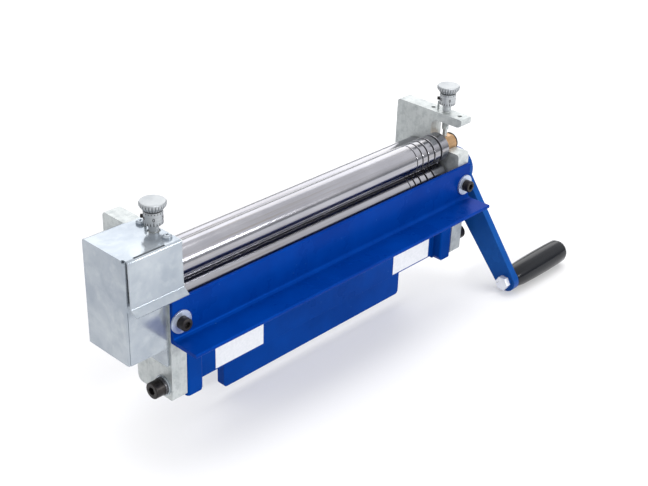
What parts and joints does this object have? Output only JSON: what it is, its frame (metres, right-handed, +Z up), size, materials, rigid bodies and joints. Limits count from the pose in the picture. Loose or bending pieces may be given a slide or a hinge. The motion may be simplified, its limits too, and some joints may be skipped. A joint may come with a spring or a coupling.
{
  "type": "slip roll machine",
  "caption": "Bench slip roll: polished bending rolls between steel end plates, with a hand crank, gear cover, gap-setting thumb screws, blue angle bar and vice tang.",
  "frame": {"origin": "mid-length of the rolls, on the front faces of the end plates, at the underside of their feet, where the vice jaws' top meets the machine", "axes": "+X along the rolls towards the crank, +Y towards the rear roll, +Z up"},
  "size_m": [0.4766, 0.1227, 0.1895],
  "materials": {
    "ground_steel": "satin, zinc tinted",
    "polished_steel": "polished",
    "bronze": "satin",
    "gear_steel": "machined, oiled",
    "bright_zinc": "bright zinc plated",
    "white_zinc": "bluish zinc plated",
    "blue_paint_bar": "gloss enamel",
    "blue_paint_member": "gloss enamel",
    "blue_paint_crank": "gloss enamel",
    "black_oxide": "black oxide",
    "spring_steel": "dark spring steel",
    "knob_steel": "satin turned and knurled",
    "black_plastic": "glossy moulded"
  },
  "bodies": {
    "frame": {"end_plate_left": "ground_steel", "end_plate_right": "ground_steel", "front_angle_bar": "blue_paint_bar", "cross_member": "blue_paint_member", "vice_tang": "blue_paint_member", "gear_cover": "bright_zinc", "cover_backplate": "bright_zinc", "cover_screw_front": "bright_zinc", "cover_screw_rear": "bright_zinc", "backplate_screw_low": "bright_zinc", "backplate_screw_high": "bright_zinc", "bar_bolt_left": "black_oxide", "bar_bolt_right": "black_oxide", "bar_washer_left": "white_zinc", "bar_washer_right": "white_zinc", "side_bolt_left": "black_oxide", "side_bolt_right": "black_oxide", "side_washer_left": "bright_zinc", "side_washer_right": "bright_zinc", "side_spring_washer_left": "spring_steel", "side_spring_washer_right": "spring_steel", "lower_bush_left": "bronze", "lower_bush_right": "bronze", "index_pin_left": "ground_steel", "index_pin_right": "ground_steel"},
    "driven_lower_roll": {"lower_roll": "polished_steel", "lower_gear": "gear_steel", "lower_gear_key": "spring_steel", "lower_gear_ring": "spring_steel", "crank_arm": "blue_paint_crank", "crank_washer": "bright_zinc", "crank_screw": "black_oxide", "grip_bolt": "bright_zinc"},
    "grip": {"crank_grip": "black_plastic"},
    "upper_carrier_left": {"upper_bush_left": "bronze"},
    "upper_carrier_right": {"upper_bush_right": "bronze"},
    "upper_roll_set": {"upper_roll": "polished_steel", "upper_gear": "gear_steel", "upper_gear_key": "spring_steel", "upper_gear_ring": "spring_steel", "upper_roll_end_ring": "spring_steel"},
    "gap_screw_left": {"thumb_screw_left": "ground_steel", "thumb_knob_left": "knob_steel", "collar_set_screw_left": "black_oxide"},
    "gap_screw_right": {"thumb_screw_right": "ground_steel", "thumb_knob_right": "knob_steel", "collar_set_screw_right": "black_oxide"},
    "rear_carrier_left": {"rear_bush_left": "bronze"},
    "rear_carrier_right": {"rear_bush_right": "bronze"},
    "rear_roll_set": {"rear_roll": "polished_steel"},
    "rear_adjuster_left": {"rear_screw_left": "black_oxide", "rear_knob_left": "knob_steel"},
    "rear_adjuster_right": {"rear_screw_right": "black_oxide", "rear_knob_right": "knob_steel"}
  },
  "joints": [
    {"name": "crank_turn", "type": "hinge", "parent": "frame", "child": "driven_lower_roll", "pos_m": [0, 0.0225, 0.071], "axis": [1, 0, 0], "continuous": true},
    {"name": "grip_spin", "type": "hinge", "parent": "driven_lower_roll", "child": "grip", "pos_m": [0.2, -0.0398, -0.02567], "axis": [1, 0, 0], "continuous": true},
    {"name": "gap_lift_left", "type": "slide", "parent": "frame", "child": "upper_carrier_left", "axis": [0, 0, 1], "range_m": [0, 0.003]},
    {"name": "gap_lift_right", "type": "slide", "parent": "frame", "child": "upper_carrier_right", "axis": [0, 0, 1], "range_m": [0, 0.003]},
    {"name": "upper_roll_turn", "type": "hinge", "parent": "upper_carrier_left", "child": "upper_roll_set", "pos_m": [0, 0.0225, 0.0978], "axis": [1, 0, 0], "continuous": true},
    {"name": "gap_screw_turn_left", "type": "hinge", "parent": "upper_carrier_left", "child": "gap_screw_left", "pos_m": [-0.1605, 0.0225, 0.13], "axis": [0, 0, 1], "range_deg": [0, 1080]},
    {"name": "gap_screw_turn_right", "type": "hinge", "parent": "upper_carrier_right", "child": "gap_screw_right", "pos_m": [0.1605, 0.0225, 0.13], "axis": [0, 0, 1], "range_deg": [0, 1080]},
    {"name": "rear_lift_left", "type": "slide", "parent": "frame", "child": "rear_carrier_left", "axis": [0, 0, 1], "range_m": [-0.006, 0.004]},
    {"name": "rear_lift_right", "type": "slide", "parent": "frame", "child": "rear_carrier_right", "axis": [0, 0, 1], "range_m": [-0.006, 0.004]},
    {"name": "rear_roll_turn", "type": "hinge", "parent": "rear_carrier_left", "child": "rear_roll_set", "pos_m": [0, 0.0475, 0.0855], "axis": [1, 0, 0], "continuous": true},
    {"name": "rear_screw_turn_left", "type": "hinge", "parent": "rear_carrier_left", "child": "rear_adjuster_left", "pos_m": [-0.1605, 0.0475, 0.045], "axis": [0, 0, 1], "range_deg": [-2160, 1440]},
    {"name": "rear_screw_turn_right", "type": "hinge", "parent": "rear_carrier_right", "child": "rear_adjuster_right", "pos_m": [0.1605, 0.0475, 0.045], "axis": [0, 0, 1], "range_deg": [-2160, 1440]}
  ],
  "couplings": [
    {"joint": "upper_roll_turn", "follows": "crank_turn", "ratio": -1},
    {"joint": "gap_lift_right", "follows": "gap_lift_left", "ratio": 1},
    {"joint": "gap_screw_turn_left", "follows": "gap_lift_left", "rad_per_m": 6283.2},
    {"joint": "gap_screw_turn_right", "follows": "gap_lift_left", "rad_per_m": 6283.2},
    {"joint": "rear_lift_right", "follows": "rear_lift_left", "ratio": 1},
    {"joint": "rear_screw_turn_left", "follows": "rear_lift_left", "rad_per_m": 6283.2},
    {"joint": "rear_screw_turn_right", "follows": "rear_lift_left", "rad_per_m": 6283.2}
  ]
}
